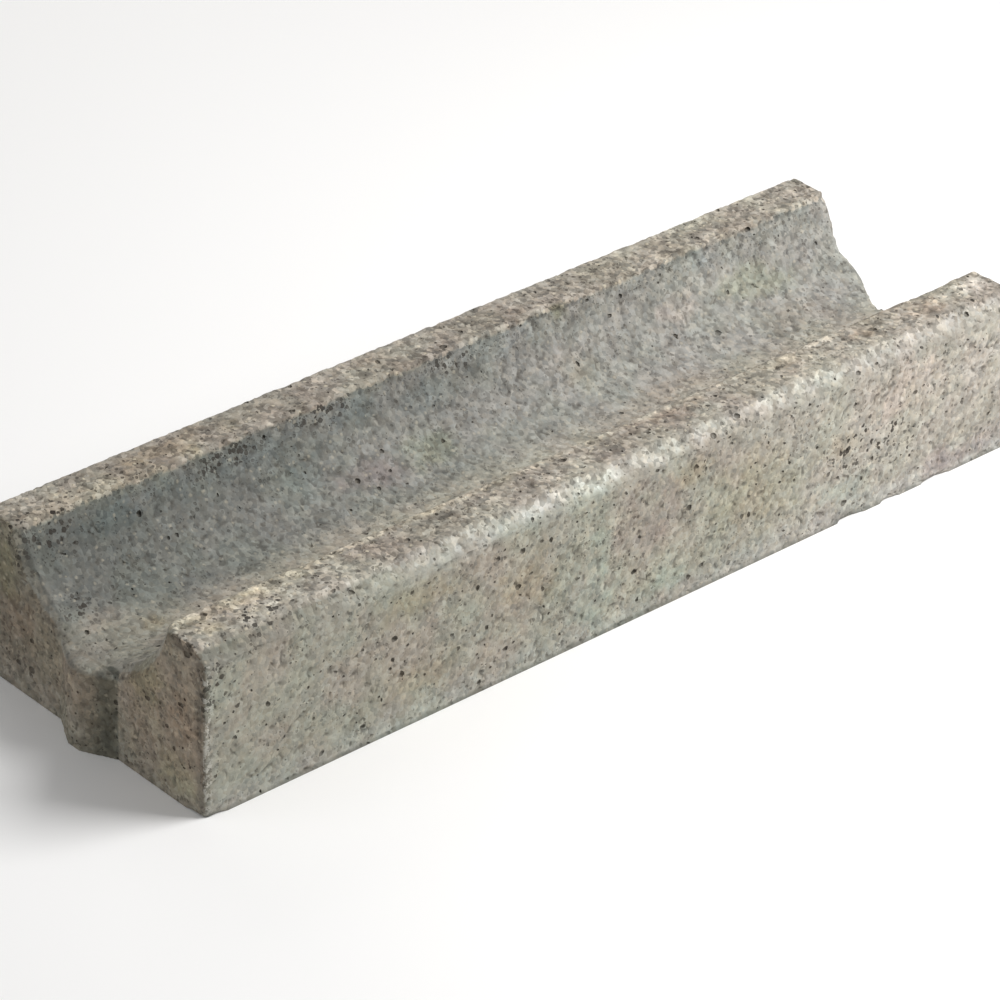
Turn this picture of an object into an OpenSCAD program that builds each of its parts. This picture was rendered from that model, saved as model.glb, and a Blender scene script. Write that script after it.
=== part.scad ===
// Half-round drainage channel, cast as one piece.
// Channels are laid end to end: the tongue on the front end of one seats in the
// groove in the rear end of the next, and the two troughs then run on as one.
// Millimetres. X is across, Y runs along the channel and Z is up. The front end,
// with the tongue, faces -Y. The origin is on the bed, under the middle of the
// overall length.

/* [Body] */
// Laying length, from end face to end face
channel_l = 1000; // [250:10:2000]
// Width over the outer sides
channel_w = 320; // [260:1:500]
// Thickness of the floor under the deepest line of the trough
floor_t = 90; // [40:1:200]
// Slope along each outer top edge, the same across and down
bevel = 16; // [2:1:30]
// Radius that eases the arrises round both end faces
arris_r = 4; // [1:0.5:8]

/* [Trough] */
// Width of the trough between the wall tops
trough_w = 200; // [165:1:240]
// Depth of the trough below the wall tops
trough_depth = 80; // [50:1:98]
// Radius that eases the trough's two long edges
mouth_r = 5; // [1:0.5:8]
// Flare of the trough at the tongue end, the same outwards and along
flare = 10; // [2:1:20]

/* [Joint] */
// Width of the tongue where it leaves the end face
tongue_root_w = 80; // [40:1:110]
// Width of the tongue across its nose
tongue_nose_w = 16; // [6:1:36]
// How far the tongue stands out of the end face
tongue_out = 17; // [6:1:30]
// How far the top of the tongue lies below the trough's surface
tongue_drop = 4; // [1:0.5:8]
// Mortar gap left all round the tongue when it is seated in a groove
joint_gap = 1.5; // [0.5:0.5:5]

/* [Hidden] */
$fn = 180;
// A cut runs this far past the face it opens
past = 1;

channel_h = floor_t + trough_depth;
half_w = channel_w / 2;
// The ends of the bevels stick out most and are rubbed back further
bevel_end_r = 1.5 * arris_r;
// The trough's arc passes through the deepest line and both edges of the mouth
trough_r = (pow(trough_w / 2, 2) + pow(trough_depth, 2)) / (2 * trough_depth);
axis_z = floor_t + trough_r;

// Centre of the arc that eases an edge of the mouth. It touches the wall top
// and the trough's arc, and ease_touch is where it meets the trough's arc.
ease_z = channel_h - mouth_r;
ease_x = sqrt(pow(trough_r + mouth_r, 2) - pow(axis_z - ease_z, 2));
ease_touch = [ease_x, ease_z] + mouth_r * ([0, axis_z] - [ease_x, ease_z]) / (trough_r + mouth_r);

// The flank of the tongue, moved out square to itself by the joint gap
flank_run = (tongue_root_w - tongue_nose_w) / 2;
flank_l = norm([flank_run, tongue_out]);
gap_across = joint_gap * flank_l / tongue_out;
groove_root_w = tongue_root_w + 2 * gap_across;
groove_depth = tongue_out + joint_gap;
groove_nose_w = groove_root_w - 2 * flank_run * groove_depth / tongue_out;

// Outline of the solid block before the trough is taken out
module block_section() {
    polygon([
        [-half_w, 0], [half_w, 0],
        [half_w, channel_h - bevel], [half_w - bevel, channel_h],
        [-half_w + bevel, channel_h], [-half_w, channel_h - bevel]
    ]);
}

// The sharp arris that an easing of radius r takes off between an outer face,
// x = 0, and an end face, y = 0
module sharp_arris(r) {
    difference() {
        translate([-r, -past]) square(r + past);
        translate([-r, r]) circle(r = r);
    }
}

// Takes the arris off one outer face at the front end. The face looks out at
// an angle above +X, and middle is a point of it as [x, z].
module eased_face(angle, middle, width, r) {
    translate([middle.x, 0, middle.y]) rotate([0, -angle, 0])
        linear_extrude(width + r, center = true) sharp_arris(r);
}

// The outer side, the bevel and the wall top of the +X wall at the front end
module eased_wall_end() {
    side_h = channel_h - bevel;
    wall_top_w = half_w - bevel - trough_w / 2;
    eased_face(0, [half_w, side_h / 2], side_h, arris_r);
    eased_face(45, [half_w - bevel / 2, channel_h - bevel / 2], bevel * sqrt(2), bevel_end_r);
    eased_face(90, [(trough_w + wall_top_w) / 2, channel_h], wall_top_w, arris_r);
}

// Both walls at both ends
module eased_ends() {
    for (side = [0, 1], end = [0, 1])
        translate([0, end * channel_l, 0]) mirror([side, 0, 0]) mirror([0, end, 0])
            eased_wall_end();
}

// The sharp corner that the easing takes off one edge of the mouth
module eased_corner() {
    difference() {
        polygon([
            [ease_x, ease_z], [ease_x, channel_h + past],
            [ease_touch.x - past, channel_h + past], ease_touch
        ]);
        translate([ease_x, ease_z]) circle(r = mouth_r);
    }
}

// Stands a section up in XZ and draws it out along the channel
module along(from, to) {
    translate([0, to, 0]) rotate([90, 0, 0]) linear_extrude(to - from) children();
}

// What the water runs in: a round bore line with a flared front end
module trough_cut() {
    translate([0, 0, axis_z]) rotate([-90, 0, 0]) rotate_extrude()
        polygon([
            [0, -past], [trough_r + flare + past, -past], [trough_r, flare],
            [trough_r, channel_l + past], [0, channel_l + past]
        ]);
    along(-past, channel_l + past) {
        eased_corner();
        mirror([1, 0]) eased_corner();
    }
}

// Plan of a tongue or groove: a trapezoid that narrows from y = 0 towards -Y,
// with a straight root of its full width behind it
module joint_plan(root_w, nose_w, reach, root_l) {
    polygon([
        [-root_w / 2, root_l], [-root_w / 2, 0], [-nose_w / 2, -reach],
        [nose_w / 2, -reach], [root_w / 2, 0], [root_w / 2, root_l]
    ]);
}

// The tongue runs from the bed up to just below the trough's surface
module tongue() {
    difference() {
        linear_extrude(channel_h) joint_plan(tongue_root_w, tongue_nose_w, tongue_out, flare);
        translate([0, -tongue_out - past, axis_z]) rotate([-90, 0, 0])
            cylinder(h = tongue_out + flare + 2 * past, r = trough_r + tongue_drop);
    }
}

// The groove opens into the bed and into the trough
module groove_cut() {
    translate([0, channel_l, -past]) linear_extrude(channel_h)
        joint_plan(groove_root_w, groove_nose_w, groove_depth, past);
}

module channel() {
    color([0.60, 0.56, 0.50])
    translate([0, (tongue_out - channel_l) / 2, 0]) union() {
        difference() {
            along(0, channel_l) block_section();
            trough_cut();
            groove_cut();
            eased_ends();
        }
        tongue();
    }
}

channel();
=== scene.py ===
import math
from types import SimpleNamespace

import bmesh
import bpy
from mathutils import Matrix, Vector, noise


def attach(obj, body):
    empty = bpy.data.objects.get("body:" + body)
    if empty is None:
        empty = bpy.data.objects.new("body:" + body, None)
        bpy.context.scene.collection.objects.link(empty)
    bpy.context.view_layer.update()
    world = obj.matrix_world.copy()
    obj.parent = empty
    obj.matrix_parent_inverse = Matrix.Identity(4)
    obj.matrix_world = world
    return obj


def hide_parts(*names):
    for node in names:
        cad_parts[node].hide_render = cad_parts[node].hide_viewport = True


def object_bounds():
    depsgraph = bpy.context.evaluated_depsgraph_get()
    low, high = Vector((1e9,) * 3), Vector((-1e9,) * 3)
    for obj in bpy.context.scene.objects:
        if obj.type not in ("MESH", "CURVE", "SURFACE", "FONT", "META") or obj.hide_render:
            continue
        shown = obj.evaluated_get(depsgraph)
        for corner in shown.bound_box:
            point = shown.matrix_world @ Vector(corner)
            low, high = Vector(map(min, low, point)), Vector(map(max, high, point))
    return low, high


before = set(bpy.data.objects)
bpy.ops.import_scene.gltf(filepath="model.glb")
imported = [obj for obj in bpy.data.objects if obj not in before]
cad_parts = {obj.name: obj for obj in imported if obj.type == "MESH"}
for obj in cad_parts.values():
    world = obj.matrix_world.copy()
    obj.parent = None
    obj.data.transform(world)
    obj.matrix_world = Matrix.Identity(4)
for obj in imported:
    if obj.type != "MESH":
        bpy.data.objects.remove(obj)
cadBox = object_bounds()
print("frame loaded")

low, high = cadBox
middle = (low + high) / 2
scene = bpy.context.scene


def toLinear(red, green, blue):
    # screen values from 0 to 255 to the linear colour a shader wants
    parts = [v / 255 for v in (red, green, blue)]
    return tuple(v / 12.92 if v < 0.04045 else ((v + 0.055) / 1.055) ** 2.4 for v in parts) + (1.0,)


class Sock:
    # one output socket, with operators for maths on values
    def __init__(self, tree, socket):
        self.tree = tree
        self.socket = socket

    def other(self, name):
        return Sock(self.tree, self.socket.node.outputs[name])

    def maths(self, operation, *values):
        return self.tree.maths(operation, self, *values)

    def __add__(self, value):
        return self.maths("ADD", value)

    def __radd__(self, value):
        return self.maths("ADD", value)

    def __sub__(self, value):
        return self.maths("SUBTRACT", value)

    def __rsub__(self, value):
        return self.tree.maths("SUBTRACT", value, self)

    def __mul__(self, value):
        return self.maths("MULTIPLY", value)

    def __rmul__(self, value):
        return self.maths("MULTIPLY", value)

    def __truediv__(self, value):
        return self.maths("DIVIDE", value)

    def __neg__(self):
        return self.maths("MULTIPLY", -1.0)


class Tree:
    def __init__(self, nodeTree):
        self.nodeTree = nodeTree

    def node(self, kind, settings=None, inputs=None, output=0):
        # any node: its settings, then a value or a link for each input, by name or number
        made = self.nodeTree.nodes.new(kind)
        for name, value in (settings or {}).items():
            setattr(made, name, value)
        for key, value in (inputs or {}).items():
            if isinstance(value, Sock):
                self.nodeTree.links.new(value.socket, made.inputs[key])
            else:
                made.inputs[key].default_value = value
        return Sock(self, made.outputs[output]) if len(made.outputs) else made

    def maths(self, operation, *values, clamp=False):
        settings = {"operation": operation, "use_clamp": clamp}
        return self.node("ShaderNodeMath", settings, dict(enumerate(values)))

    def vector(self, operation, *values, output=0):
        return self.node("ShaderNodeVectorMath", {"operation": operation}, dict(enumerate(values)), output)

    def length(self, vector):
        return self.vector("LENGTH", vector, output="Value")

    def scaled(self, vector, factor):
        return self.node("ShaderNodeVectorMath", {"operation": "SCALE"}, {0: vector, "Scale": factor})

    def joined(self, x, y, z=0.0):
        return self.node("ShaderNodeCombineXYZ", None, {0: x, 1: y, 2: z})

    def split(self, vector):
        # its X; other("Y") and other("Z") give the rest
        return self.node("ShaderNodeSeparateXYZ", None, {0: vector}, "X")

    def splitColour(self, colour):
        # its red; other("Green") and other("Blue") give the rest
        return self.node("ShaderNodeSeparateColor", None, {0: colour}, "Red")

    def step(self, value, start, end, bottom=0.0, top=1.0):
        # goes smoothly from bottom to top as value goes from start to end
        inputs = {"Value": value, "From Min": start, "From Max": end, "To Min": bottom, "To Max": top}
        return self.node("ShaderNodeMapRange", {"interpolation_type": "SMOOTHSTEP"}, inputs)

    def blend(self, factor, first, second, mode="MIX"):
        # colour sockets of a Mix node: 6 and 7 go in, 2 comes out
        settings = {"data_type": "RGBA", "blend_type": mode, "clamp_factor": True}
        return self.node("ShaderNodeMix", settings, {0: factor, 6: first, 7: second}, 2)

    def noise(self, place, size, detail=3.0, roughness=0.55, seed=0.0):
        # fractal noise whose largest features are about this size, from 0 to 1
        moved = self.vector("ADD", place, (seed, seed * 0.37, -seed * 0.71))
        inputs = {"Vector": moved, "Scale": 1 / size, "Detail": detail, "Roughness": roughness}
        return self.node("ShaderNodeTexNoise", {"noise_dimensions": "3D"}, inputs)

    def cells(self, place, size, seed):
        # distance to the nearest cell centre, in cell sizes; its Color is random for each cell
        moved = self.vector("ADD", place, (seed, -seed * 0.53, seed * 0.29))
        inputs = {"Vector": moved, "Scale": 1 / size, "Randomness": 1.0}
        return self.node("ShaderNodeTexVoronoi", {"feature": "F1", "voronoi_dimensions": "3D"}, inputs)

    def store(self, geometry, name, value, domain="POINT", kind="FLOAT"):
        # keeps a value on the mesh, under a name that the material can read
        return self.node("GeometryNodeStoreNamedAttribute", {"data_type": kind, "domain": domain},
                         {0: geometry, 2: name, 3: value})

    def stored(self, name, output="Fac"):
        # reads in a material what store kept
        return self.node("ShaderNodeAttribute", {"attribute_name": name}, None, output)


cameraView = {
    "azimuth": 47.04,      # degrees round from the front end
    "elevation": 31.32,
    "roll": 2.03,
    "distance": 4.536,
    "lens": 176.8,
    "sensor": 36,
    "aimAside": (0.0, -0.011, -0.024),   # from the middle of the channel
}


def makeCamera(view):
    azimuth, elevation, roll = (math.radians(view[k]) for k in ("azimuth", "elevation", "roll"))
    back = Vector((math.sin(azimuth) * math.cos(elevation),
                   -math.cos(azimuth) * math.cos(elevation), math.sin(elevation)))
    level = Vector((math.cos(azimuth), math.sin(azimuth), 0))
    up = back.cross(level)
    right = level * math.cos(roll) + up * math.sin(roll)
    top = back.cross(right)
    data = bpy.data.cameras.new("camera")
    data.lens = view["lens"]
    data.sensor_width = view["sensor"]
    data.clip_start = 0.05
    data.clip_end = 100
    camera = bpy.data.objects.new("camera", data)
    scene.collection.objects.link(camera)
    aim = middle + Vector(view["aimAside"])
    turn = Matrix((right, top, back)).transposed().to_4x4()
    camera.matrix_world = Matrix.Translation(aim + back * view["distance"]) @ turn
    scene.camera = camera


studioLights = {
    # place, size in metres, power in watts, colour
    "key": ((1.30, 1.30, 2.05), 1.5, 84, (1.0, 0.99, 0.98)),
    "fill": ((-0.6, -2.2, 2.2), 2.0, 12, (0.95, 0.97, 1.0)),
    "back": ((-2.2, 0.8, 1.6), 1.6, 12, (1.0, 0.98, 0.96)),
}
ambientLight = ((1.0, 0.99, 0.97, 1.0), 0.28)


def makeLights(lights):
    for name, (place, size, power, colour) in lights.items():
        data = bpy.data.lights.new(name, "AREA")
        data.shape = "SQUARE"
        data.size = size
        data.energy = power
        data.color = colour
        light = bpy.data.objects.new(name, data)
        scene.collection.objects.link(light)
        light.location = place
        light.rotation_mode = "QUATERNION"
        light.rotation_quaternion = (middle - Vector(place)).to_track_quat("-Z", "Y")
    world = bpy.data.worlds.new("studio")
    scene.world = world
    world.use_nodes = True
    background = world.node_tree.nodes["Background"]
    background.inputs["Color"].default_value = ambientLight[0]
    background.inputs["Strength"].default_value = ambientLight[1]


floorForm = {"halfSide": 12.0, "tone": 0.93, "roughness": 0.9, "gloss": 0.2}


def makeFloor(form):
    half = form["halfSide"]
    mesh = bpy.data.meshes.new("studioFloor")
    corners = [(-half, -half, low.z), (half, -half, low.z), (half, half, low.z), (-half, half, low.z)]
    mesh.from_pydata(corners, [], [(0, 1, 2, 3)])
    floor = bpy.data.objects.new("studioFloor", mesh)
    scene.collection.objects.link(floor)
    paint = bpy.data.materials.new("paleFloor")
    paint.use_nodes = True
    shader = paint.node_tree.nodes["Principled BSDF"]
    shader.inputs["Base Color"].default_value = (form["tone"],) * 3 + (1.0,)
    shader.inputs["Roughness"].default_value = form["roughness"]
    shader.inputs["Specular IOR Level"].default_value = form["gloss"]
    mesh.materials.append(paint)


makeCamera(cameraView)
makeLights(studioLights)
makeFloor(floorForm)
scene.view_settings.view_transform = "Standard"
print("camera, light and floor made")


sectionForm = {
    # the casting's own sizes, in metres
    "troughRadius": 0.1025,
    "axisHeight": 0.1925,
    "bevel": 0.016,
    "flare": 0.010,
    "tongueOut": 0.017,
    "tongueTop": (0.079, 0.084),   # heights between which its flank turns into its top
}
frontFace = low.y + sectionForm["tongueOut"]

chipForms = {
    # centre from the front face along the casting, and half sizes, in metres
    "rearFarCorner": ((-0.088, 1.0, 0.17), (0.017, 0.013, 0.013)),
    "rearFarArris": ((-0.072, 1.001, 0.124), (0.016, 0.006, 0.02)),
    "frontInnerTop": ((0.102, -0.001, 0.17), (0.012, 0.007, 0.008)),
    "innerDip": ((0.098, 0.935, 0.171), (0.01, 0.03, 0.005)),
    "topScar": ((0.126, 0.76, 0.172), (0.009, 0.02, 0.004)),
    "foot": ((0.162, 0.785, -0.001), (0.006, 0.021, 0.006)),
    "secondFoot": ((0.162, 0.838, -0.001), (0.005, 0.015, 0.005)),
    "thirdFoot": ((0.162, 0.9, -0.001), (0.005, 0.022, 0.005)),
    "farFoot": ((-0.161, 0.62, 0.0), (0.008, 0.022, 0.01)),
    "farShoulder": ((-0.155, 0.33, 0.16), (0.007, 0.02, 0.008)),
    "rearFoot": ((-0.12, 1.001, 0.0), (0.02, 0.008, 0.01)),
}

wearForm = {
    "voxel": 0.0020,       # grid of the worn mesh
    "soften": 2,           # rounds of smoothing, which rub the arrises round
    "tongueEase": 14,      # more rounds where the tongue's top meets the flare
    "easeAside": (0.040, 0.048),     # where those run out: to the sides,
    "easeBehind": (0.012, 0.020),    # behind the front face,
    "easeUnder": (0.1075, 0.112),    # down from the trough's axis
    "easeFoot": (0.014, 0.026),      # and away from the front foot
    "keepShare": 0.168,    # share of the triangles kept
    "arrisReach": 0.007,   # how far wear runs in from an arris
    "arrisWear": 0.0016,   # how deep wear goes on an arris
    "arrisSize": 0.035,    # length of its deeper stretches
    "arrisAngle": 1.0,     # angle between faces, in radians, that makes a worn arris
    "markAngle": 0.6,      # the same where the material looks rubbed
    "markReach": 0.012,    # how far the rubbed look runs in
    "smoothAngle": 0.75,   # edges under this angle are shaded smooth
    "chipDepth": 0.005,    # the few places where an arris is broken off
    "chipSize": 0.030,
    "swell": 0.0009,       # slow unevenness of the faces
    "swellSize": 0.060,
    "grit": 0.0012,        # quick unevenness of the faces
    "gritSize": 0.009,
    "sand": 0.0003,        # how far single sand grains have washed out
    "pinholeShare": 0.07,  # share of the mesh's points
    "pinholeDepth": 0.0014,
}

poreForm = {
    "density": 60000.0,    # possible places to a square metre
    "largeGap": 0.009,     # least distance between two large pores
    "largeSize": 0.0034,
    "largeShare": 0.10,    # share of the possible places that hold one
    "smallGap": 0.0045,
    "smallSize": 0.0019,
    "smallShare": 0.085,
    "seed": 4,
}


def geometryTree(name, inputs):
    # a new tree with a geometry in and out, and inputs named as in the dictionaries
    group = bpy.data.node_groups.new(name, "GeometryNodeTree")
    group.interface.new_socket("Geometry", in_out="INPUT", socket_type="NodeSocketGeometry")
    for label, kind in inputs.items():
        group.interface.new_socket(label, in_out="INPUT", socket_type="NodeSocket" + kind)
    group.interface.new_socket("Geometry", in_out="OUTPUT", socket_type="NodeSocketGeometry")
    tree = Tree(group)
    return tree, tree.node("NodeGroupInput")


def endTree(tree, geometry, given):
    # realizes the instances, sets the material and closes the tree
    real = tree.node("GeometryNodeRealizeInstances", None, {0: geometry})
    painted = tree.node("GeometryNodeSetMaterial", None, {0: real, 2: given.other("material")})
    tree.node("NodeGroupOutput", None, {0: painted})
    return tree.nodeTree


def bake(piece):
    # a new plain mesh with the piece's modifiers in it
    depsgraph = bpy.context.evaluated_depsgraph_get()
    mesh = bpy.data.meshes.new_from_object(piece.evaluated_get(depsgraph))
    piece.modifiers.clear()
    piece.data = mesh


def runTree(piece, group, values):
    # sets each input that has a value, by its identifier, then bakes the result
    modifier = piece.modifiers.new(group.name, "NODES")
    modifier.node_group = group
    for item in group.interface.items_tree:
        if item.in_out == "INPUT" and item.name in values:
            modifier[item.identifier] = values[item.name]
    bake(piece)


def modify(piece, kind, settings):
    modifier = piece.modifiers.new(kind.lower(), kind)
    for name, value in settings.items():
        setattr(modifier, name, value)
    bake(piece)


def countTriangles(piece):
    return sum(len(face.vertices) - 2 for face in piece.data.polygons)


def plainObject(name, mesh):
    piece = bpy.data.objects.new(name, mesh)
    scene.collection.objects.link(piece)
    return piece


def closedCopy(source, name):
    # the frame's node as one closed mesh, apart from the node itself
    mesh = source.data.copy()
    mesh.materials.clear()
    build = bmesh.new()
    build.from_mesh(mesh)
    bmesh.ops.remove_doubles(build, verts=build.verts, dist=1e-5)
    build.to_mesh(mesh)
    build.free()
    return plainObject(name, mesh)


def chipCutters(forms):
    # one rough lump for each broken corner or arris
    build = bmesh.new()
    start = Vector((0, frontFace, 0))
    for index, (centre, half) in enumerate(forms.values()):
        lump = bmesh.ops.create_icosphere(build, subdivisions=3, radius=1.0)["verts"]
        for point in lump:
            bump = noise.noise(point.co * 1.6 + Vector((index * 3.7, 0, 0)))
            unit = point.co * (1 + 0.35 * bump)
            point.co = Vector([c + u * h for c, u, h in zip(centre, unit, half)]) + start
    mesh = bpy.data.meshes.new("chips")
    build.to_mesh(mesh)
    build.free()
    return plainObject("chips", mesh)


def arrisDistance(tree, sharpForm, leastAngle):
    # distance from each point to the nearest arris of the sharp form
    sharp = tree.node("GeometryNodeObjectInfo", {"transform_space": "ORIGINAL"}, {0: sharpForm}, "Geometry")
    angle = tree.node("GeometryNodeInputMeshEdgeAngle")
    isSharp = tree.node("FunctionNodeCompare", {"operation": "GREATER_THAN"}, {0: angle, 1: leastAngle})
    edges = tree.node("GeometryNodeSeparateGeometry", {"domain": "EDGE"}, {0: sharp, 1: isSharp})
    return tree.node("GeometryNodeProximity", {"target_element": "EDGES"}, {0: edges}, "Distance")


def offAxis(tree, place):
    # distance from the trough's axis
    across = tree.split(place)
    return tree.length(tree.joined(across, across.other("Z") - sectionForm["axisHeight"]))


def castLimits(tree, place, inTrough):
    # the trough was cast smoother, and the bed stays flat where it rests
    mouth = sectionForm["troughRadius"]
    rough = tree.step(offAxis(tree, place), mouth - 0.002, mouth + 0.006, inTrough, 1.0)
    free = tree.step(tree.split(place).other("Z"), low.z + 0.0005, low.z + 0.004)
    return rough, free


def sink(tree, geometry, depth):
    # moves every point in along its normal
    inward = tree.scaled(tree.node("GeometryNodeInputNormal"), -depth)
    return tree.node("GeometryNodeSetPosition", None, {0: geometry, 3: inward})


def randomValue(tree, least, most, seed):
    # its float kind has inputs 2, 3 and 8 and output 1
    return tree.node("FunctionNodeRandomValue", {"data_type": "FLOAT"}, {2: least, 3: most, 8: seed}, 1)


def lumpMask(tree, place, wobble, lump, core):
    # 1 in the core of a lump with a crooked border, and 0 outside it
    (across, along, height), half = lump
    shift = tree.vector("SUBTRACT", place, (across, along + frontFace, height))
    return tree.step(tree.length(tree.vector("DIVIDE", shift, half)) + wobble, core, 1.20, 1.0, 0.0)


def easeTree():
    # rubs the tongue's top and the flare beside it smooth, and rounds the front foot
    tree, given = geometryTree("easedTongue", {"tongueEase": "Int", "material": "Material"})
    place = tree.node("GeometryNodeInputPosition")
    parts = tree.split(place)
    start, end = wearForm["easeBehind"]
    inside = tree.step(parts.maths("ABSOLUTE"), *wearForm["easeAside"], 1.0, 0.0)
    near = tree.step(parts.other("Y"), frontFace + start, frontFace + end, 1.0, 0.0)
    above = tree.step(offAxis(tree, place), *wearForm["easeUnder"], 1.0, 0.0)
    foot = tree.vector("SUBTRACT", place, (high.x, frontFace, low.z))
    corner = tree.step(tree.length(foot), *wearForm["easeFoot"], 1.0, 0.0)
    weight = (inside * near * above).maths("MAXIMUM", corner)
    eased = tree.node("GeometryNodeBlurAttribute", {"data_type": "FLOAT_VECTOR"},
                      {"Value": place, "Iterations": given.other("tongueEase"), "Weight": weight})
    moved = tree.node("GeometryNodeSetPosition", None, {0: given, 2: eased})
    return endTree(tree, moved, given)


def wearTree():
    # rubs and chips the arrises and makes the faces uneven
    tree, given = geometryTree("wornSurface", {
        "sharpForm": "Object", "arrisReach": "Float", "arrisWear": "Float", "chipDepth": "Float",
        "swell": "Float", "grit": "Float", "material": "Material",
    })
    place = tree.node("GeometryNodeInputPosition")
    away = arrisDistance(tree, given.other("sharpForm"), wearForm["arrisAngle"])
    onArris = tree.maths("SUBTRACT", 1.0, away / given.other("arrisReach"), clamp=True)
    broad = tree.noise(place, wearForm["arrisSize"], 2.0, seed=3.1)
    fine = tree.noise(place, wearForm["gritSize"], 2.0, seed=7.7)
    lumps = tree.noise(place, wearForm["swellSize"], 2.0, seed=11.3)
    breaks = tree.step(tree.noise(place, wearForm["chipSize"], 3.0, 0.6, seed=19.7), 0.60, 0.74)
    bite = onArris * onArris * given.other("arrisWear") * (0.35 + 1.3 * broad + 1.6 * (fine - 0.5))
    chip = breaks * onArris * given.other("chipDepth")
    relief = given.other("swell") * lumps + given.other("grit") * tree.step(fine, 0.25, 0.75)
    rough, free = castLimits(tree, place, 0.5)
    moved = sink(tree, given, (bite + chip + relief * rough) * free)
    return endTree(tree, moved, given)


def sandTree():
    # every point of the mesh is a grain, and a few are pinholes
    tree, given = geometryTree("sandAndPinholes", {
        "sand": "Float", "pinholeShare": "Float", "pinholeDepth": "Float", "seed": "Int",
        "material": "Material",
    })
    place = tree.node("GeometryNodeInputPosition")
    seed = given.other("seed")
    cluster = tree.step(tree.noise(place, 0.040, 3.0, 0.6, seed=41.0), 0.38, 0.66, 0.3, 2.2)
    pick = randomValue(tree, 0.0, 1.0, seed)
    isHole = tree.maths("LESS_THAN", pick, given.other("pinholeShare") * cluster)
    rough, free = castLimits(tree, place, 0.6)
    sand = given.other("sand") * randomValue(tree, 0.0, 1.0, seed + 1.0)
    marked = tree.store(given, "pinhole", isHole * free)
    moved = sink(tree, marked, (sand * rough + isHole * given.other("pinholeDepth")) * free)
    return endTree(tree, moved, given)


def poreCutters(tree, body, gap, size, share, detail, seed):
    # rough little lumps set over a body in clusters, never closer than gap
    place = tree.node("GeometryNodeInputPosition")
    along = tree.split(place).other("Y")
    radius = offAxis(tree, place)
    mouth = sectionForm["troughRadius"]
    # few in the bed and the trough, and none on the tongue and the flare beside it
    cluster = tree.step(tree.noise(place, 0.045, 3.0, 0.6, seed=detail * 5.3), 0.40, 0.68, 0.25, 2.4)
    bed = tree.step(along.other("Z"), low.z, low.z + 0.002, 0.15, 1.0)
    inTrough = tree.step(radius, mouth, mouth + 0.004, 0.35, 1.0)
    behind = tree.step(along, frontFace + 0.006, frontFace + 0.022)
    allowed = behind.maths("MAXIMUM", tree.step(radius, 0.113, 0.116))
    scatter = tree.node("GeometryNodeDistributePointsOnFaces", {"distribute_method": "POISSON"}, {
        "Mesh": body, "Distance Min": gap, "Density Max": poreForm["density"],
        "Density Factor": share * cluster * bed * inTrough * allowed, "Seed": seed})
    pick = randomValue(tree, 0.0, 1.0, seed)
    # few are large: the size falls off with the cube
    scale = size * (0.42 + 0.58 * pick * pick * pick)
    wide = randomValue(tree, 0.75, 1.45, seed + 1.0)
    shape = tree.joined(scale * wide, scale, scale * 0.7)
    ball = tree.node("GeometryNodeMeshIcoSphere", None, {"Radius": 1.0, "Subdivisions": detail})
    placed = tree.node("GeometryNodeInstanceOnPoints", None, {
        "Points": scatter, "Instance": ball, "Rotation": scatter.other("Rotation"), "Scale": shape})
    real = tree.node("GeometryNodeRealizeInstances", None, {0: placed})
    jolt = tree.node("ShaderNodeTexNoise", None, {"Vector": place, "Scale": 260.0, "Detail": 1.0}, "Color")
    offset = tree.scaled(tree.vector("SUBTRACT", jolt, (0.5, 0.5, 0.5)), size * 1.1)
    moved = tree.node("GeometryNodeSetPosition", None, {0: real, 3: offset})
    return tree.store(moved, "pit", 1.0, "FACE")


def poreTree():
    # cuts the blow holes, large ones and small ones, and marks their walls
    tree, given = geometryTree("blowHoles", {
        "largeGap": "Float", "largeSize": "Float", "largeShare": "Float",
        "smallGap": "Float", "smallSize": "Float", "smallShare": "Float",
        "seed": "Int", "material": "Material",
    })
    body = tree.store(given, "pit", 0.0, "FACE")
    for kind, detail in (("large", 2), ("small", 1)):
        gap, size, share = (given.other(kind + word) for word in ("Gap", "Size", "Share"))
        cutters = poreCutters(tree, given, gap, size, share, detail, given.other("seed"))
        body = tree.node("GeometryNodeMeshBoolean", {"operation": "DIFFERENCE", "solver": "MANIFOLD"},
                         {0: body, 1: cutters})
    return endTree(tree, body, given)


def stainLight(tree, place):
    # how much red, green and blue the stains let through at each point
    wobble = 2.2 * (tree.noise(place, 0.018, 3.0, seed=2.3) - 0.5)
    wobble = wobble + 0.9 * (tree.noise(place, 0.006, 2.0) - 0.5)
    light = (1.0, 1.0, 1.0, 1.0)
    for kind, strength, *lump in stains.values():
        mask = lumpMask(tree, place, wobble, lump, 0.35)
        light = tree.blend(mask * strength, light, stainTints[kind] + (1.0,), "MULTIPLY")
    return light


def speckMask(tree, place):
    # how close together dark grains lie at each point, from 0 to 1
    wobble = 1.6 * (tree.noise(place, 0.018, 3.0, seed=8.3) - 0.5)
    most = 0.0
    for lump in speckClusters.values():
        most = tree.maths("MAXIMUM", most, lumpMask(tree, place, wobble, lump, 0.40))
    return most


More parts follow.
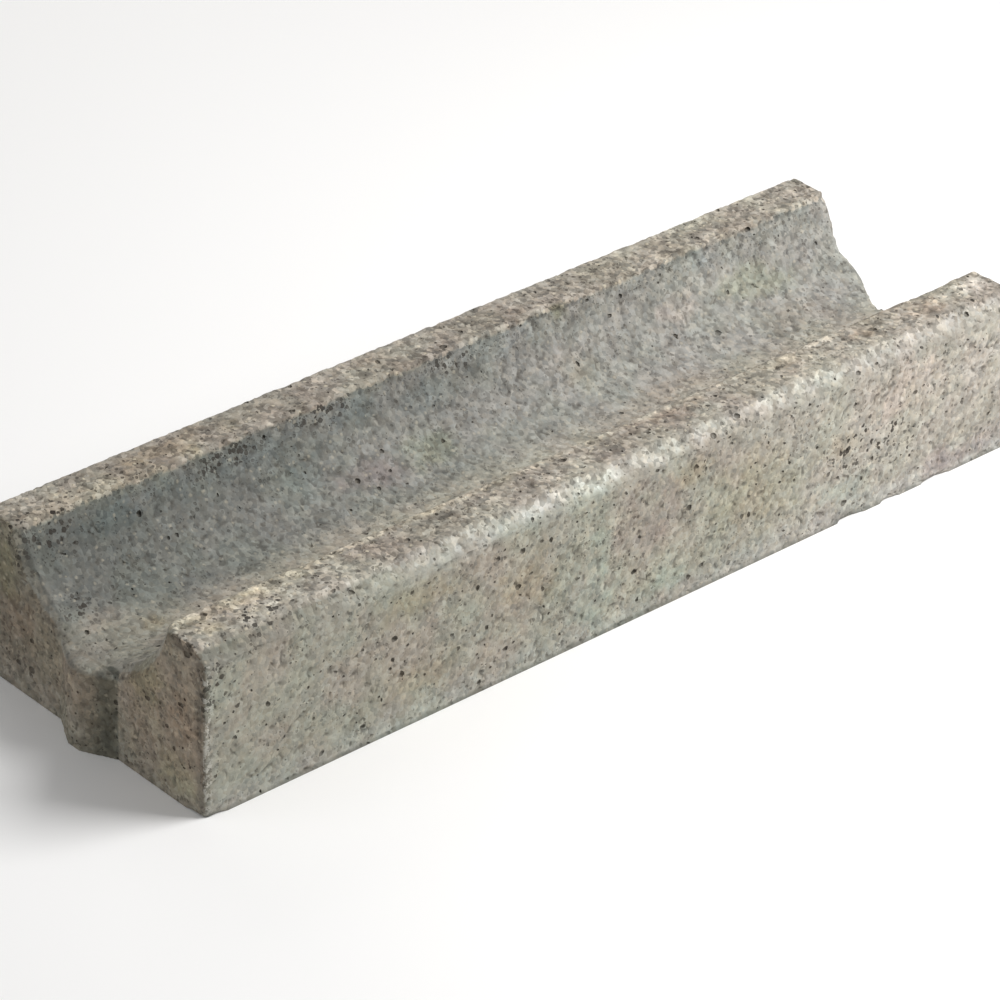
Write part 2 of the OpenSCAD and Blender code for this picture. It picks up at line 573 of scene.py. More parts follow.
def finishTree():
    # what the material reads at each point, and smooth shading off the sharp rims
    tree, given = geometryTree("arrisAndShading", {"sharpForm": "Object", "material": "Material"})
    place = tree.node("GeometryNodeInputPosition")
    away = arrisDistance(tree, given.other("sharpForm"), wearForm["markAngle"])
    marked = tree.store(given, "arris", tree.step(away, 0.0, wearForm["markReach"], 1.0, 0.0))
    stained = tree.store(marked, "stain", stainLight(tree, place), kind="FLOAT_VECTOR")
    specked = tree.store(stained, "speck", speckMask(tree, place))
    # nothing stands out of the solid's own box
    inBox = tree.vector("MAXIMUM", tree.vector("MINIMUM", place, tuple(high)), tuple(low))
    angle = tree.node("GeometryNodeInputMeshEdgeAngle")
    gentle = tree.node("FunctionNodeCompare", {"operation": "LESS_THAN"},
                       {0: angle, 1: wearForm["smoothAngle"]})
    kept = tree.node("GeometryNodeSetPosition", None, {0: specked, 2: inBox})
    faces = tree.node("GeometryNodeSetShadeSmooth", {"domain": "FACE"}, {0: kept, 2: True})
    edges = tree.node("GeometryNodeSetShadeSmooth", {"domain": "EDGE"}, {0: faces, 2: gentle})
    return endTree(tree, edges, given)


def dropCrumbs(piece):
    # deletes what the pores cut loose, and keeps the one large body
    build = bmesh.new()
    build.from_mesh(piece.data)
    waiting = set(build.verts)
    groups = []
    while waiting:
        group = [waiting.pop()]
        for point in group:
            for edge in point.link_edges:
                other = edge.other_vert(point)
                if other in waiting:
                    waiting.remove(other)
                    group.append(other)
        groups.append(group)
    groups.sort(key=len)
    for group in groups[:-1]:
        bmesh.ops.delete(build, geom=group, context="VERTS")
    build.to_mesh(piece.data)
    build.free()
    print("crumbs dropped:", len(groups) - 1)


def makeCasting(material):
    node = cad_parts["channel"]
    sharp = closedCopy(node, "sharpForm")
    chips = chipCutters(chipForms)
    casting = closedCopy(node, "weatheredCasting")
    modify(casting, "BOOLEAN", {"object": chips, "operation": "DIFFERENCE", "solver": "MANIFOLD"})
    modify(casting, "REMESH", {"mode": "VOXEL", "voxel_size": wearForm["voxel"], "use_smooth_shade": True})
    modify(casting, "SMOOTH", {"factor": 0.5, "iterations": wearForm["soften"]})
    given = {**wearForm, **poreForm, "sharpForm": sharp, "material": material}
    runTree(casting, easeTree(), given)
    print("casting remeshed:", countTriangles(casting), "triangles")
    runTree(casting, wearTree(), given)
    modify(casting, "DECIMATE", {"decimate_type": "COLLAPSE", "ratio": wearForm["keepShare"]})
    print("casting worn:", countTriangles(casting), "triangles")
    runTree(casting, sandTree(), given)
    runTree(casting, poreTree(), given)
    dropCrumbs(casting)
    runTree(casting, finishTree(), given)
    bpy.data.objects.remove(sharp)
    bpy.data.objects.remove(chips)
    print("pores cut:", countTriangles(casting), "triangles")
    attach(casting, "root")
    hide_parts("channel")


concreteFinish = {
    # screen colours from 0 to 255
    "greenGrey": (149, 148, 136),
    "pinkTan": (152, 146, 134),
    "rearPale": (171, 166, 156),   # the near wall towards its rear end
    "slate": (107, 109, 104),      # the front of the trough
    "troughBeige": (142, 141, 135),
    "troughUpper": (92, 95, 91),   # under the far arris of the trough
    "siltAndLight": (158, 152, 139),       # the trough's floor, paler there as painted light against the near wall's shadow
    "tongueTop": (134, 132, 122),
    "bloomAndHighlight": (184, 182, 173),      # lime bloom and a painted highlight on the bevels
    "topTan": (155, 150, 139),
    "topBrown": (131, 123, 113),
    "cream": (204, 194, 172),
    "earthAndShade": (148, 136, 119),      # the ends, darkened in part as painted shade
    "dampAndShade": (66, 71, 63),          # the near flank of the tongue, damp and in painted shade
    "sootAndShadow": (52, 47, 41),          # in dark grains, in pores and pinholes as painted shade, and in painted shadow lines on the ends
    # grains and fine relief, in metres
    "grainSize": 0.0046,
    "fineSize": 0.0025,
    "grainWarp": 0.0022,           # how crooked the borders of the grains are
    "gritHeight": 0.0003,
    "grainHeight": 0.0003,
    "darkGrainDepth": 0.0008,
    # the sheen
    "roughness": 0.93,
    "troughSmoothing": 0.12,       # how much less rough the trough is
    "grainSmoothing": 0.08,        # and single grains
    "gloss": 0.35,
}

stainTints = {
    # how much red, green and blue each kind of stain lets through
    "ochre": (1.00, 0.94, 0.81),
    "rust": (0.96, 0.82, 0.72),
    "brown": (0.86, 0.84, 0.84),
    "mauve": (0.97, 0.88, 0.91),
    "teal": (0.92, 1.03, 1.05),
    "blue": (0.78, 0.87, 0.94),
    "olive": (0.72, 0.75, 0.56),
    "sootAndShadow": (0.36, 0.36, 0.36),
    "cream": (1.32, 1.27, 1.12),
    "rose": (1.20, 1.10, 1.09),
    "chalk": (1.24, 1.26, 1.24),
    "white": (1.50, 1.50, 1.56),
    "frost": (1.03, 1.07, 1.12),
    "moss": (0.95, 0.98, 0.84),
    "foot": (1.05, 1.08, 1.14),    # the lowest inch of the outer sides
}


def inTroughAt(along, arc):
    # a place in the trough, arc metres down from its far arris
    radius = sectionForm["troughRadius"]
    axis = sectionForm["axisHeight"]
    turn = arc / radius - math.acos((axis - high.z) / radius)
    return radius * math.sin(turn), along, axis - radius * math.cos(turn)


stains = {
    # kind, strength, place from the front face, half lengths across, along and up
    # the outer side
    "sideOchreFront": ("ochre", 0.7, (0.16, 0.235, 0.126), (0.02, 0.045, 0.02)),
    "sideOchreLow": ("ochre", 0.5, (0.16, 0.245, 0.048), (0.02, 0.05, 0.018)),
    "sideOchreMiddle": ("ochre", 0.65, (0.16, 0.375, 0.095), (0.02, 0.036, 0.036)),
    "sideTealHigh": ("teal", 0.7, (0.16, 0.458, 0.1), (0.02, 0.013, 0.035)),
    "sideTealLow": ("teal", 0.8, (0.16, 0.446, 0.042), (0.02, 0.025, 0.032)),
    "sideMauve": ("mauve", 0.65, (0.16, 0.515, 0.106), (0.02, 0.045, 0.04)),
    "sideOchreHigh": ("ochre", 0.65, (0.16, 0.572, 0.13), (0.02, 0.024, 0.014)),
    "sideTealFoot": ("teal", 0.8, (0.16, 0.547, 0.026), (0.02, 0.024, 0.012)),
    "sideOchreRear": ("ochre", 0.65, (0.16, 0.65, 0.082), (0.02, 0.058, 0.045)),
    "sideRust": ("rust", 0.4, (0.16, 0.768, 0.084), (0.02, 0.028, 0.013)),
    "sideRose": ("rose", 0.5, (0.16, 0.855, 0.118), (0.02, 0.062, 0.034)),
    "sideTealRear": ("teal", 0.8, (0.16, 0.775, 0.04), (0.02, 0.045, 0.018)),
    "sideMauveFoot": ("mauve", 0.45, (0.16, 0.905, 0.016), (0.02, 0.06, 0.014)),
    "sideChalkMiddle": ("chalk", 0.45, (0.16, 0.505, 0.045), (0.02, 0.09, 0.035)),
    "sideChalkRear": ("chalk", 0.35, (0.16, 0.75, 0.115), (0.02, 0.035, 0.02)),
    "sideChalkFoot": ("chalk", 0.3, (0.16, 0.74, 0.04), (0.02, 0.05, 0.014)),
    "sideBrownRear": ("brown", 1.0, (0.16, 0.96, 0.03), (0.02, 0.055, 0.034)),
    "sideBrownHigh": ("brown", 0.35, (0.16, 0.91, 0.09), (0.02, 0.08, 0.016)),
    "sideChalkHigh": ("chalk", 0.5, (0.16, 0.445, 0.116), (0.02, 0.045, 0.018)),
    "sideBrownMiddle": ("brown", 0.65, (0.16, 0.552, 0.116), (0.02, 0.04, 0.018)),
    "sideBrownFront": ("brown", 0.22, (0.16, 0.22, 0.124), (0.02, 0.12, 0.022)),
    "sideChalkLow": ("chalk", 0.2, (0.16, 0.3, 0.013), (0.02, 0.12, 0.018)),
    "sideSootFoot": ("sootAndShadow", 0.4, (0.16, 0.777, 0.004), (0.02, 0.02, 0.011)),
    "sideBrownFoot": ("brown", 0.9, (0.16, 0.925, 0.01), (0.02, 0.03, 0.014)),
    "sideBrownFootMiddle": ("brown", 0.7, (0.16, 0.522, 0.009), (0.02, 0.024, 0.012)),
    # the bevel
    "bevelChalk": ("chalk", 0.6, (0.158, 0.45, 0.156), (0.014, 0.05, 0.012)),
    "bevelDull": ("brown", 0.7, (0.152, 0.64, 0.163), (0.018, 0.09, 0.018)),
    "bevelDullRear": ("brown", 1.0, (0.156, 0.905, 0.16), (0.022, 0.15, 0.02)),
    "bevelChalkLow": ("chalk", 0.42, (0.161, 0.3, 0.154), (0.014, 0.22, 0.012)),
    "bevelFrost": ("frost", 0.9, (0.159, 0.34, 0.155), (0.012, 0.16, 0.01)),
    # the near top
    "topCreamFront": ("cream", 0.6, (0.13, 0.033, 0.17), (0.008, 0.015, 0.012)),
    "topChalkFront": ("chalk", 0.7, (0.124, 0.09, 0.17), (0.024, 0.06, 0.02)),
    "topChalkOuter": ("chalk", 0.65, (0.138, 0.23, 0.17), (0.009, 0.04, 0.01)),
    "topChalkSecond": ("chalk", 0.75, (0.14, 0.425, 0.169), (0.008, 0.034, 0.012)),
    "topCreamInner": ("cream", 0.5, (0.113, 0.735, 0.17), (0.01, 0.036, 0.012)),
    "topBrownLine": ("brown", 1.0, (0.114, 0.48, 0.17), (0.01, 0.24, 0.02)),
    "topBrownOuter": ("brown", 0.8, (0.131, 0.55, 0.17), (0.016, 0.07, 0.02)),
    "topBrownSecond": ("brown", 0.45, (0.129, 0.33, 0.17), (0.014, 0.045, 0.018)),
    "topRust": ("rust", 0.6, (0.119, 0.82, 0.17), (0.009, 0.022, 0.01)),
    "topRustRear": ("rust", 0.5, (0.126, 0.912, 0.17), (0.014, 0.024, 0.01)),
    "topChalkRear": ("chalk", 0.5, (0.124, 0.965, 0.17), (0.01, 0.04, 0.012)),
    "topWhiteRear": ("white", 1.0, (0.122, 0.97, 0.17), (0.014, 0.04, 0.022)),
    "topChalkEdge": ("chalk", 0.8, (0.141, 0.725, 0.169), (0.008, 0.085, 0.014)),
    "topCreamEdge": ("cream", 0.6, (0.113, 0.075, 0.17), (0.008, 0.09, 0.012)),
    "topChalkSpot": ("chalk", 0.9, (0.138, 0.078, 0.169), (0.009, 0.034, 0.012)),
    "topRustSecond": ("rust", 0.35, (0.112, 0.58, 0.17), (0.008, 0.06, 0.012)),
    # the far top
    "farTopChalk": ("chalk", 1.0, (-0.142, 0.845, 0.17), (0.026, 0.11, 0.026)),
    "farTopCream": ("cream", 0.42, (-0.108, 0.095, 0.17), (0.018, 0.13, 0.016)),
    "farTopBrown": ("brown", 0.7, (-0.118, 0.245, 0.17), (0.024, 0.05, 0.02)),
    "farTopDull": ("brown", 0.8, (-0.11, 0.55, 0.17), (0.011, 0.11, 0.018)),
    "farTopChalkFront": ("chalk", 1.0, (-0.128, 0.02, 0.17), (0.018, 0.044, 0.014)),
    "farTopChalkSecond": ("chalk", 0.6, (-0.128, 0.422, 0.17), (0.01, 0.026, 0.012)),
    "farTopChalkThird": ("chalk", 0.9, (-0.131, 0.722, 0.17), (0.012, 0.032, 0.012)),
    "farTopChalkFourth": ("chalk", 0.6, (-0.112, 0.775, 0.17), (0.012, 0.024, 0.01)),
    "farTopRose": ("rose", 0.6, (-0.134, 0.43, 0.17), (0.011, 0.03, 0.01)),
    "farTopSoot": ("sootAndShadow", 0.5, (-0.105, 0.47, 0.17), (0.006, 0.011, 0.008)),
    "farTopOchre": ("ochre", 0.6, (-0.125, 0.19, 0.17), (0.018, 0.06, 0.012)),
    # the trough
    "troughChalkRear": ("chalk", 0.45, inTroughAt(0.85, 0.022), (0.02, 0.06, 0.03)),
    "troughFrostMiddle": ("frost", 0.7, inTroughAt(0.56, 0.014), (0.016, 0.05, 0.02)),
    "troughChalkFront": ("chalk", 0.3, inTroughAt(0.16, 0.01), (0.014, 0.06, 0.016)),
    "troughChalkSecond": ("chalk", 0.5, inTroughAt(0.225, 0.007), (0.012, 0.032, 0.008)),
    "troughChalkThird": ("chalk", 0.32, inTroughAt(0.555, 0.008), (0.012, 0.05, 0.008)),
    "troughChalkFourth": ("chalk", 0.42, inTroughAt(0.8, 0.007), (0.012, 0.052, 0.008)),
    "troughBlueFront": ("blue", 0.7, inTroughAt(0.1, 0.024), (0.016, 0.04, 0.02)),
    "troughBlueSecond": ("blue", 0.45, inTroughAt(0.17, 0.022), (0.014, 0.035, 0.016)),
    "troughFrostSecond": ("frost", 0.9, inTroughAt(0.25, 0.022), (0.016, 0.065, 0.018)),
    "troughBlueMiddle": ("blue", 0.65, inTroughAt(0.375, 0.02), (0.014, 0.035, 0.015)),
    "troughBlueThird": ("blue", 0.5, inTroughAt(0.462, 0.032), (0.016, 0.035, 0.018)),
    "troughBlueRear": ("blue", 0.5, inTroughAt(0.828, 0.016), (0.012, 0.02, 0.01)),
    "troughSoot": ("sootAndShadow", 0.5, inTroughAt(0.52, 0.027), (0.01, 0.022, 0.009)),
    "troughOlive": ("olive", 0.7, inTroughAt(0.64, 0.008), (0.008, 0.013, 0.009)),
    "troughSootFront": ("sootAndShadow", 0.4, inTroughAt(0.006, 0.03), (0.01, 0.01, 0.02)),
    "troughMauve": ("mauve", 0.9, inTroughAt(0.37, 0.082), (0.02, 0.042, 0.016)),
    "troughOchre": ("ochre", 0.4, inTroughAt(0.64, 0.07), (0.02, 0.028, 0.018)),
    "troughRoseThird": ("rose", 0.35, inTroughAt(0.635, 0.058), (0.018, 0.026, 0.024)),
    "troughMoss": ("moss", 0.7, inTroughAt(0.44, 0.08), (0.02, 0.035, 0.02)),
    "troughTeal": ("teal", 0.6, inTroughAt(0.3, 0.06), (0.02, 0.03, 0.018)),
    "troughMossRear": ("moss", 0.7, inTroughAt(0.88, 0.055), (0.02, 0.05, 0.022)),
    "troughRose": ("rose", 0.75, inTroughAt(0.775, 0.05), (0.018, 0.034, 0.02)),
    "troughRust": ("rust", 0.35, inTroughAt(0.71, 0.122), (0.016, 0.045, 0.014)),
    "troughRustRear": ("rust", 0.35, inTroughAt(0.89, 0.105), (0.022, 0.048, 0.016)),
    "troughRoseFront": ("rose", 0.6, inTroughAt(0.045, 0.107), (0.016, 0.028, 0.01)),
    "troughBrownHigh": ("brown", 0.4, inTroughAt(0.45, 0.01), (0.014, 0.035, 0.014)),
    "troughBrownThird": ("brown", 0.5, inTroughAt(0.65, 0.01), (0.014, 0.04, 0.014)),
    "troughChalkHigh": ("chalk", 0.22, inTroughAt(0.8, 0.047), (0.02, 0.09, 0.018)),
    "troughBrownFloor": ("brown", 0.3, inTroughAt(0.2, 0.142), (0.018, 0.09, 0.014)),
    "troughOchreFront": ("ochre", 0.7, inTroughAt(0.074, 0.134), (0.012, 0.014, 0.012)),
    # the front end
    "endRoot": ("frost", 0.8, (0.047, 0.002, 0.045), (0.01, 0.012, 0.08)),
    "endMoss": ("moss", 0.8, (0.08, 0.002, 0.105), (0.026, 0.012, 0.034)),
    "endMossFoot": ("moss", 0.6, (0.125, 0.002, 0.03), (0.03, 0.012, 0.024)),
    "endRust": ("rust", 0.35, (0.13, 0.002, 0.09), (0.024, 0.012, 0.03)),
    "endRustFar": ("rust", 0.4, (-0.095, 0.002, 0.075), (0.03, 0.012, 0.024)),
    "endMossFar": ("moss", 0.7, (-0.12, 0.002, 0.12), (0.026, 0.012, 0.03)),
    "endChalkFar": ("chalk", 0.5, (-0.112, 0.002, 0.15), (0.03, 0.012, 0.022)),
    "endChalkFoot": ("chalk", 0.4, (0.112, 0.002, 0.014), (0.05, 0.012, 0.02)),
    # the far side
    "farSideOchre": ("ochre", 0.8, (-0.16, 0.3, 0.09), (0.02, 0.07, 0.045)),
    "farSideTeal": ("teal", 0.8, (-0.16, 0.48, 0.05), (0.02, 0.06, 0.04)),
    "farSideMauve": ("mauve", 0.8, (-0.16, 0.72, 0.1), (0.02, 0.06, 0.04)),
}


speckClusters = {
    # where dark grains lie close together: place from the front face, half lengths
    "troughCorner": (inTroughAt(0.022, 0.02), (0.03, 0.046, 0.032)),
    "troughFloor": (inTroughAt(0.026, 0.088), (0.018, 0.02, 0.012)),
    "troughSecond": (inTroughAt(0.23, 0.016), (0.018, 0.045, 0.012)),
    "troughThird": (inTroughAt(0.345, 0.012), (0.016, 0.032, 0.01)),
    "troughFourth": (inTroughAt(0.505, 0.014), (0.016, 0.03, 0.01)),
    "nearCorner": ((0.16, 0.01, 0.13), (0.012, 0.022, 0.034)),
    "topFront": ((0.14, 0.075, 0.168), (0.014, 0.05, 0.014)),
    "sideRear": ((0.16, 0.8, 0.08), (0.02, 0.07, 0.03)),
}


def colourOf(name):
    return toLinear(*concreteFinish[name])


def castingPlaces(tree):
    # where a point lies on the casting, its grain, and the face it is on, from 0 to 1
    at = SimpleNamespace()
    at.place = tree.node("ShaderNodeTexCoord", None, None, "Object")
    at.across = tree.split(at.place)
    at.height = at.across.other("Z")
    at.along = at.across.other("Y") - frontFace
    at.side = at.across.maths("ABSOLUTE")
    at.near = tree.step(at.across, 0.0, 0.01)   # the half beside the camera
    at.far = 1 - at.near
    at.wobble = tree.noise(at.place, 0.018, 3.0, seed=2.3) - 0.5
    at.slow = tree.noise(at.place, 0.055, 3.0, 0.6, seed=5.1)
    at.sway = at.slow - 0.5

    # grains of sand: cells with crooked borders, each with its own random colour
    jolt = tree.node("ShaderNodeTexNoise", None, {
        "Vector": at.place, "Scale": 320.0, "Detail": 1.0}, "Color")
    warped = tree.vector("ADD", at.place, tree.scaled(jolt, concreteFinish["grainWarp"]))
    at.grain = tree.cells(warped, concreteFinish["grainSize"], seed=0.31)
    at.fine = tree.cells(warped, concreteFinish["fineSize"], seed=0.77)
    at.pick = tree.splitColour(at.grain.other("Color"))
    at.hue = at.pick.other("Green")
    at.warmth = at.pick.other("Blue")
    at.finePick = tree.splitColour(at.fine.other("Color"))
    at.fineHue = at.finePick.other("Green")

    # the faces, whose borders run round the grains
    border = 0.008 * at.wobble + 0.004 * (at.pick - 0.5) + 0.012 * at.sway
    at.radius = offAxis(tree, at.place)
    mouth = sectionForm["troughRadius"]
    flare = sectionForm["flare"]
    flared = at.radius - tree.step(at.along, 0.0, flare, 1.05 * flare, 0.0)
    below = tree.step(at.height + 0.7 * border, high.z - 0.0070, high.z - 0.0030, 1.0, 0.0)
    at.inTrough = tree.step(flared, mouth + 0.0020, mouth + 0.0035, 1.0, 0.0) * below
    at.onTop = tree.step(at.height, high.z - 0.008, high.z - 0.004) * (1 - at.inTrough)
    bevelLine = high.x + high.z - sectionForm["bevel"]
    onBevel = tree.step(at.side + at.height + 0.5 * border, bevelLine - 0.009, bevelLine - 0.003)
    at.onBevel = onBevel * (1 - at.inTrough) * (1 - at.onTop)
    at.onEnd = tree.step(at.along + 0.3 * border, 0.0022, 0.0042, 1.0, 0.0)
    at.upTongue = tree.step(at.height, *sectionForm["tongueTop"])
    onTongue = tree.step(at.along, 0.004, 0.012, 1.0, 0.0) * tree.step(at.side, 0.036, 0.050, 1.0, 0.0)
    at.onTongueTop = onTongue * at.upTongue
    at.atFoot = tree.step(at.height + at.wobble * 0.008, 0.001, 0.0055, 1.0, 0.0)
    return at


def wallColours(tree, at):
    # green grey and pinkish tan in large patches, paler towards the rear
    broad = tree.noise(at.place, 0.070, 3.0, 0.55, seed=1.7)
    body = tree.blend(tree.step(broad, 0.38, 0.62), colourOf("greenGrey"), colourOf("pinkTan"))
    rear = tree.step(at.along + 0.25 * at.sway, 0.48, 0.95)
    body = tree.blend(rear * 0.85, body, colourOf("rearPale"))
    foot = tree.step(at.height + 0.03 * at.sway, 0.008, 0.034, 1.0, 0.0)
    body = tree.blend(foot, body, stainTints["foot"] + (1.0,), "MULTIPLY")

    # the tops: paler along the trough on the near wall, browner on the far wall
    top = tree.blend(tree.step(at.slow, 0.42, 0.68) * 0.8, colourOf("topTan"), colourOf("topBrown"))
    rubbed = tree.step(at.side + 0.006 * at.wobble, 0.106, 0.112, 1.0, 0.0)
    rubbed = rubbed * tree.step(at.along, 0.25, 0.65, 1.0, 0.3) * at.near
    top = tree.blend(rubbed * 0.35, top, colourOf("cream"))
    top = tree.blend(at.far * 0.25, top, colourOf("topBrown"))
    body = tree.blend(at.onTop, body, top)

    # painted shade: the bevels darker towards the front end; then lime bloom and a painted highlight in a
    # streaky band on the upper half of each bevel
    shade = tree.step(at.along, 0.05, 0.25, 0.71, 0.93)
    body = tree.blend(at.onBevel, body, tree.vector("MULTIPLY", body, tree.joined(shade, shade, shade)))
    edge = at.side + 0.008 * at.wobble
    band = tree.step(edge, 0.1430, 0.1480) * tree.step(edge, 0.1530, 0.1580, 1.0, 0.0)
    streak = tree.step(tree.noise(at.place, 0.020, 4.0, 0.75, seed=13.9), 0.34, 0.58, 0.45, 1.0)
    run = tree.step(at.along + 0.1 * at.sway, 0.08, 0.40)
    bloomAndHighlight = band * (at.onBevel + at.onTop) * streak * run * tree.step(at.pick, 0.0, 0.7, 0.62, 1.0)
    return tree.blend(bloomAndHighlight, body, colourOf("bloomAndHighlight"))


def troughColours(tree, at):
    # dark at the front and under the far arris, with a painted shadow line at the arris, and pale along the
    # floor, as silt and as painted light against the near wall's shadow
    drift = 0.25 * (tree.noise(at.place, 0.120, 2.0, 0.5, seed=9.4) - 0.5)
    fade = tree.step(at.along + drift, -0.05, 0.80)
    trough = tree.blend(fade, colourOf("slate"), colourOf("troughBeige"))
    upper = tree.step(at.height + 0.04 * at.sway, 0.100, 0.135) * at.far
    upper = upper * tree.step(at.height + 0.01 * at.wobble, 0.140, 0.160, 1.0, 0.25)
    trough = tree.blend(upper * (1 - fade) * 0.6, trough, colourOf("troughUpper"))
    # painted shadow: a thin dark line right under the far arris
    line = tree.step(at.height + 0.004 * at.wobble, 0.1605, 0.1645) * at.far
    line = line * tree.step(at.along + 0.1 * at.sway, 0.20, 0.45, 0.08, 0.42)
    trough = tree.blend(line, trough, colourOf("troughUpper"))

    # the pale strip, silt and painted light, lies wider at the front
    wider = tree.step(at.along, 0.02, 0.12, 0.026, 0.0)
    floor = tree.step(at.across + 0.02 * at.sway + wider, -0.032, 0.006)
    wash = tree.step(at.along, 0.03, 0.12, 0.58, 1.0)
    trough = tree.blend(floor * wash * (0.9 - 0.2 * fade), trough, colourOf("siltAndLight"))
    lip = tree.step(at.along + 0.004 * at.wobble, 0.004, 0.010, 1.0, 0.0)
    return tree.blend(lip * tree.step(at.height, 0.115, 0.150, 0.35, 0.75), trough, colourOf("siltAndLight"))


def endColours(tree, at, body):
    # earthy, darkened in part as painted shade, damper towards the far side, with silt splashed up from the
    # foot, and painted shade on the upper near half
    flank = 1 - tree.step(at.along, -0.0005, 0.0005, 1.0, 0.0) * at.upTongue   # all but the tongue's top
    earthAndShade = tree.blend(tree.step(at.across, -0.110, -0.010, 0.42, 0.0), colourOf("earthAndShade"), colourOf("dampAndShade"))
    splash = tree.step(at.height + 0.03 * at.sway, 0.0, 0.060, 0.7, 0.0)
    earthAndShade = tree.blend(splash, earthAndShade, colourOf("siltAndLight"))
    shaded = tree.step(at.height, 0.070, 0.120, 0.0, 0.14) * tree.step(at.across, -0.07, 0.0)
    earthAndShade = tree.blend(shaded, earthAndShade, colourOf("dampAndShade"))
    body = tree.blend(at.onEnd * flank * 0.85, body, earthAndShade)
    body = tree.blend(at.onTongueTop * 0.85, body, colourOf("tongueTop"))

    # the near flank of the tongue is damp and painted darker as shade, most of all in its concave corner
    # with the end
    tongue = tree.step(at.along, -0.003, -0.0005, 1.0, 0.0) * flank
    crooked = at.across + 0.004 * at.wobble
    wetAndShaded = tree.step(crooked, 0.010, 0.032, 0.22, 1.0) * tree.step(at.across, 0.0395, 0.0430, 1.0, 0.0)
    wetAndShaded = wetAndShaded * tree.step(crooked, 0.006, 0.009) * at.onEnd * flank
    body = tree.blend(tongue * 0.12, body, colourOf("dampAndShade"))
    body = tree.blend(wetAndShaded * 0.62, body, colourOf("dampAndShade"))

    # painted shadow, with some dirt, in a thin line under the edge of the tongue's top, the flare and the
    # wall's top
    below = at.radius + 0.003 * at.wobble - tree.step(at.across, 0.036, 0.044, 0.1082, 0.1124)
    rim = tree.step(below, 0.0, 0.001) * tree.step(below, 0.0025, 0.0040, 1.0, 0.0)
    rim = rim * tree.step(at.across, 0.024, 0.036) * tree.step(at.across, 0.062, 0.078, 1.0, 0.0)
    crest = tree.step(at.height + 0.004 * at.wobble, 0.1560, 0.1600) * tree.step(at.across, 0.094, 0.100)
    crest = crest * tree.step(at.across, 0.134, 0.150, 1.0, 0.3)
    corner = tree.step(at.across + 0.006 * at.wobble, 0.1440, 0.1520) * 0.75
    line = rim.maths("MAXIMUM", crest).maths("MAXIMUM", corner) * tree.step(at.slow, 0.30, 0.60, 0.5, 1.0)
    return tree.blend(line * at.onEnd * 0.55, body, colourOf("sootAndShadow"))


def addGrains(tree, at, body, rough):
    # each grain has its own tone
    coarse = 0.52 + 0.16 * at.onTop + 0.12 * at.inTrough
    fine = 0.14 - 0.06 * at.onTop
    tone = 1 + rough * (coarse * (at.pick - 0.5) + fine * (at.finePick - 0.5))

    # small light and dark patches, weaker near the front, save on the near top and the ends
    patch = tree.noise(at.place, 0.014, 4.0, 0.65, seed=21.0)
    depth = 0.22 + 0.22 * at.onTop + 0.06 * at.inTrough - 0.08 * at.onBevel + 0.08 * at.onEnd
    quiet = tree.step(at.along, 0.05, 0.45, 0.55, 1.0)
    quiet = quiet.maths("MAXIMUM", tree.step(at.across, 0.04, 0.09) * at.onTop).maths("MAXIMUM", at.onEnd)
    tone = tone * (1 + depth * quiet * tree.step(patch, 0.25, 0.75, -1.0, 1.0))

    # pinkish or greenish over an inch or two, warm or cold from grain to grain
    drift = tree.step(tree.noise(at.place, 0.050, 2.0, 0.5, seed=61.0), 0.36, 0.64)
    tint = tree.blend(drift, (1.012, 0.990, 1.0, 1.0), (0.988, 1.006, 0.990, 1.0))
    lean = 0.06 * (at.warmth - 0.5)
    body = tree.vector("MULTIPLY", body, tint)
    body = tree.vector("MULTIPLY", body, tree.joined(tone * (1 + lean), tone, tone * (1 - lean)))

    # and a few are cream
    pale = tree.step(at.grain, 0.18, 0.50, 1.0, 0.0) * tree.step(at.hue, 0.88, 0.95)
    return tree.blend(pale * rough * rough * 0.45, body, colourOf("cream"))


def darkGrains(tree, at, speck):
    # 1 on dark grains: their share rises in clusters, under the arris and by the near corner
    share = tree.step(tree.noise(at.place, 0.050, 2.0, seed=27.0), 0.42, 0.66, 0.04, 0.20)
    share = share + 0.14 * at.inTrough * tree.step(at.height + 0.02 * at.wobble, 0.138, 0.152)
    corner = tree.step(at.along, 0.008, 0.018, 1.0, 0.0) * tree.step(at.across, 0.150, 0.158)
    share = share + 0.30 * corner * tree.step(at.height + 0.1 * at.wobble, 0.0, 0.15, 0.5, 1.0)
    share = share + speck * (0.13 + 0.10 * at.inTrough)
    coarse = tree.step(at.grain - 0.22 * speck, 0.26, 0.44, 1.0, 0.0)
    coarse = coarse * tree.step(at.hue - share, -0.01, 0.01, 1.0, 0.0)
    fine = tree.step(at.fine, 0.28, 0.46, 1.0, 0.0) * tree.step(at.fineHue - share, -0.01, 0.01, 1.0, 0.0)
    return coarse.maths("MAXIMUM", 0.6 * fine)


def addWear(tree, at, body):
    # rubbed arrises are paler, the foot darker, and the pores and pinholes darker as painted shade
    arris, pit, pinhole = (tree.stored(name) for name in ("arris", "pit", "pinhole"))
    body = tree.blend(arris * (1 - at.onEnd) * (1 - at.atFoot) * 0.15, body, colourOf("bloomAndHighlight"))
    corner = tree.step(at.along + 0.010 * at.wobble, 0.006, 0.012, 1.0, 0.0)
    corner = corner * tree.step(at.across, 0.1560, 0.1580)
    flaked = tree.step(tree.noise(at.place, 0.006, 3.0, 0.7, seed=51.0), 0.50, 0.58)
    body = tree.blend(corner * (1 - flaked) * 0.28, body, colourOf("dampAndShade"))
    body = tree.blend(corner * flaked * 0.75, body, colourOf("bloomAndHighlight"))
    body = tree.blend(at.atFoot * (1 - at.onEnd) * 0.48, body, colourOf("dampAndShade"))
    body = tree.blend(tree.step(pinhole, 0.25, 0.9) * 0.45, body, colourOf("sootAndShadow"))
    return tree.blend(pit * 0.55, body, colourOf("sootAndShadow"))


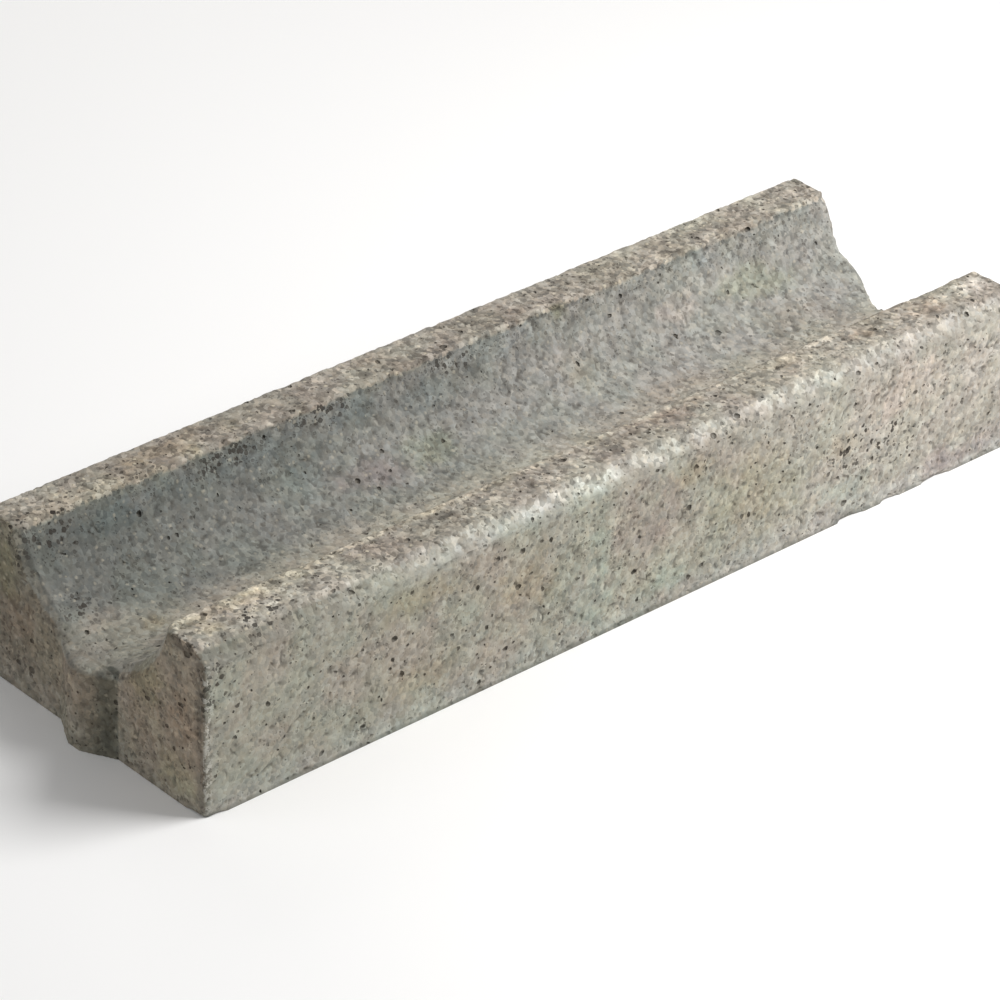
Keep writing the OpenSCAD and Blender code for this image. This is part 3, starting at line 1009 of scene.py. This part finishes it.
def roughnessShare(tree, at):
    # how coarse the surface looks: most on the tops and ends, least on the tongue's top
    front = tree.step(at.along, 0.0, 0.50, 0.78, 1.0)
    bevel = 1.15 * at.onBevel * tree.step(at.along, 0.10, 0.40, 1.0, 0.0)
    calm = at.onTop.maths("MAXIMUM", at.inTrough).maths("MAXIMUM", front).maths("MAXIMUM", bevel)
    rough = tree.step(at.inTrough, 0.0, 1.0, 1.0, 0.90) * (0.85 + 0.30 * at.onTop + 0.16 * at.onEnd) * calm
    topFront = at.onTop * tree.step(at.along, 0.1, 0.3, 1.0, 0.0)
    return rough * (1 - 0.45 * at.onTongueTop) * (1 + 0.15 * topFront)


def makeConcrete():
    material = bpy.data.materials.new("weatheredConcrete")
    material.use_nodes = True
    material.node_tree.nodes.clear()
    tree = Tree(material.node_tree)
    at = castingPlaces(tree)
    rough = roughnessShare(tree, at)
    speck = tree.stored("speck")
    dark = darkGrains(tree, at, speck)
    body = tree.blend(at.inTrough, wallColours(tree, at), troughColours(tree, at))
    body = endColours(tree, at, body)
    body = tree.vector("MULTIPLY", body, tree.stored("stain", "Color"))
    body = addGrains(tree, at, body, rough)
    body = tree.blend(dark * (rough * 0.55 + 0.45 * speck), body, colourOf("sootAndShadow"))
    body = addWear(tree, at, body)

    # fine relief
    grit = tree.noise(at.place, 0.0035, 2.0, 0.6, seed=33.0)
    relief = (concreteFinish["gritHeight"] * grit - concreteFinish["darkGrainDepth"] * dark
              + concreteFinish["grainHeight"] * tree.step(at.grain, 0.1, 0.6, 1.0, 0.0))
    bump = tree.node("ShaderNodeBump", None, {
        "Strength": 1.0, "Distance": 1.0, "Height": relief * rough * (1 - 0.25 * at.onTop)})
    roughness = (concreteFinish["roughness"] - concreteFinish["troughSmoothing"] * at.inTrough
                 - concreteFinish["grainSmoothing"] * at.pick)
    shader = tree.node("ShaderNodeBsdfPrincipled", None, {
        "Base Color": body, "Roughness": roughness, "Normal": bump,
        "Specular IOR Level": concreteFinish["gloss"]})
    tree.node("ShaderNodeOutputMaterial", None, {"Surface": shader})
    return material


concrete = makeConcrete()
print("concrete made")
makeCasting(concrete)
